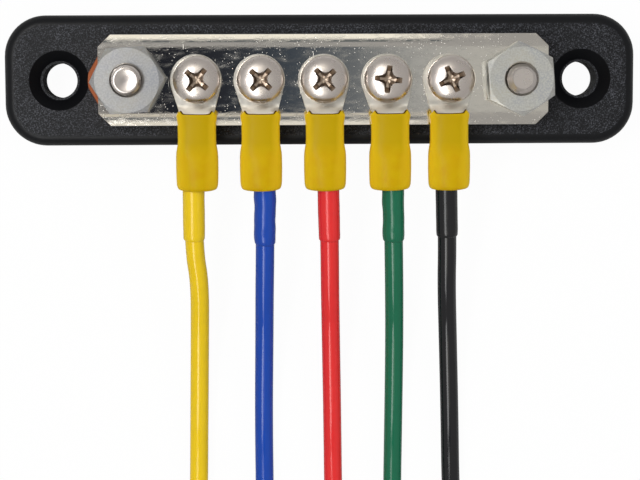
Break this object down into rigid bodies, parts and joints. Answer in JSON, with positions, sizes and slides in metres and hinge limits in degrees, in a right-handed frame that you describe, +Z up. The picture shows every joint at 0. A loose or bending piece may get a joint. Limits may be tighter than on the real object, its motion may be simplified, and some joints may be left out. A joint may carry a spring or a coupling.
{
  "type": "bus bar",
  "caption": "Distribution bus bar: moulded base, plated bar with a row of terminal screws between two studs with nuts, and short coloured leads on ring terminals.",
  "frame": {"origin": "middle of the base's mounting face", "axes": "+Z up off the panel, +X along the bar, and the leads run towards -Y"},
  "size_m": [0.1282, 0.1527, 0.0206],
  "materials": {
    "base_plastic": "moulded, finely grained",
    "tinned_copper": "tin plate, bright with fine scratches",
    "stud_steel": "plated, bright",
    "seat_brass": "bare, reddish",
    "zinc_plated_steel": "zinc plate, satin",
    "nickel_plated_steel": "nickel plate, bright",
    "spring_steel": "plain",
    "terminal_tin": "tin plate, satin",
    "sleeve_vinyl": "soft vinyl, satin",
    "copper_strands": "bare copper",
    "pvc_yellow": "glossy insulation",
    "collar_yellow": "shrunk tube, glossy",
    "pvc_blue": "glossy insulation",
    "collar_blue": "shrunk tube, glossy",
    "pvc_red": "glossy insulation",
    "collar_red": "shrunk tube, glossy",
    "pvc_green": "glossy insulation",
    "collar_green": "shrunk tube, glossy",
    "pvc_black": "glossy insulation",
    "collar_black": "shrunk tube, glossy"
  },
  "bodies": {
    "bus_bar": {"base": "base_plastic", "bar": "tinned_copper", "stud_left": "stud_steel", "seat_plate_left": "seat_brass", "stud_right": "stud_steel", "seat_plate_right": "seat_brass", "ring_terminal_1": "terminal_tin", "crimp_sleeve_1": "sleeve_vinyl", "shrink_collar_yellow": "collar_yellow", "wire_yellow": "pvc_yellow", "strands_yellow": "copper_strands", "ring_terminal_2": "terminal_tin", "crimp_sleeve_2": "sleeve_vinyl", "shrink_collar_blue": "collar_blue", "wire_blue": "pvc_blue", "strands_blue": "copper_strands", "ring_terminal_3": "terminal_tin", "crimp_sleeve_3": "sleeve_vinyl", "shrink_collar_red": "collar_red", "wire_red": "pvc_red", "strands_red": "copper_strands", "ring_terminal_4": "terminal_tin", "crimp_sleeve_4": "sleeve_vinyl", "shrink_collar_green": "collar_green", "wire_green": "pvc_green", "strands_green": "copper_strands", "ring_terminal_5": "terminal_tin", "crimp_sleeve_5": "sleeve_vinyl", "shrink_collar_black": "collar_black", "wire_black": "pvc_black", "strands_black": "copper_strands"},
    "nut_left": {"stud_nut_left": "zinc_plated_steel"},
    "nut_right": {"stud_nut_right": "zinc_plated_steel"},
    "washer_1": {"lock_washer_1": "spring_steel"},
    "screw_1": {"terminal_screw_1": "nickel_plated_steel"},
    "washer_2": {"lock_washer_2": "spring_steel"},
    "screw_2": {"terminal_screw_2": "nickel_plated_steel"},
    "washer_3": {"lock_washer_3": "spring_steel"},
    "screw_3": {"terminal_screw_3": "nickel_plated_steel"},
    "washer_4": {"lock_washer_4": "spring_steel"},
    "screw_4": {"terminal_screw_4": "nickel_plated_steel"},
    "washer_5": {"lock_washer_5": "spring_steel"},
    "screw_5": {"terminal_screw_5": "nickel_plated_steel"}
  },
  "joints": [
    {"name": "nut_left_turn", "type": "hinge", "parent": "bus_bar", "child": "nut_left", "pos_m": [-0.03865, 0, 0.0129], "axis": [0, 0, 1], "range_deg": [0, 2520]},
    {"name": "nut_right_turn", "type": "hinge", "parent": "bus_bar", "child": "nut_right", "pos_m": [0.03965, 0, 0.0129], "axis": [0, 0, 1], "range_deg": [0, 2520]},
    {"name": "screw_1_lift", "type": "slide", "parent": "bus_bar", "child": "washer_1", "axis": [0, 0, 1], "range_m": [0, 0.0064]},
    {"name": "screw_1_turn", "type": "hinge", "parent": "washer_1", "child": "screw_1", "pos_m": [-0.0249, 0, 0.0151], "axis": [0, 0, 1], "range_deg": [0, 2880]},
    {"name": "screw_2_lift", "type": "slide", "parent": "bus_bar", "child": "washer_2", "axis": [0, 0, 1], "range_m": [0, 0.0064]},
    {"name": "screw_2_turn", "type": "hinge", "parent": "washer_2", "child": "screw_2", "pos_m": [-0.0122, 0, 0.0151], "axis": [0, 0, 1], "range_deg": [0, 2880]},
    {"name": "screw_3_lift", "type": "slide", "parent": "bus_bar", "child": "washer_3", "axis": [0, 0, 1], "range_m": [0, 0.0064]},
    {"name": "screw_3_turn", "type": "hinge", "parent": "washer_3", "child": "screw_3", "pos_m": [0.0005, 0, 0.0151], "axis": [0, 0, 1], "range_deg": [0, 2880]},
    {"name": "screw_4_lift", "type": "slide", "parent": "bus_bar", "child": "washer_4", "axis": [0, 0, 1], "range_m": [0, 0.0064]},
    {"name": "screw_4_turn", "type": "hinge", "parent": "washer_4", "child": "screw_4", "pos_m": [0.0132, 0, 0.0151], "axis": [0, 0, 1], "range_deg": [0, 2880]},
    {"name": "screw_5_lift", "type": "slide", "parent": "bus_bar", "child": "washer_5", "axis": [0, 0, 1], "range_m": [0, 0.0064]},
    {"name": "screw_5_turn", "type": "hinge", "parent": "washer_5", "child": "screw_5", "pos_m": [0.0259, 0, 0.0151], "axis": [0, 0, 1], "range_deg": [0, 2880]}
  ],
  "couplings": [
    {"joint": "screw_1_turn", "follows": "screw_1_lift", "rad_per_m": 7854},
    {"joint": "screw_2_turn", "follows": "screw_2_lift", "rad_per_m": 7854},
    {"joint": "screw_3_turn", "follows": "screw_3_lift", "rad_per_m": 7854},
    {"joint": "screw_4_turn", "follows": "screw_4_lift", "rad_per_m": 7854},
    {"joint": "screw_5_turn", "follows": "screw_5_lift", "rad_per_m": 7854}
  ]
}
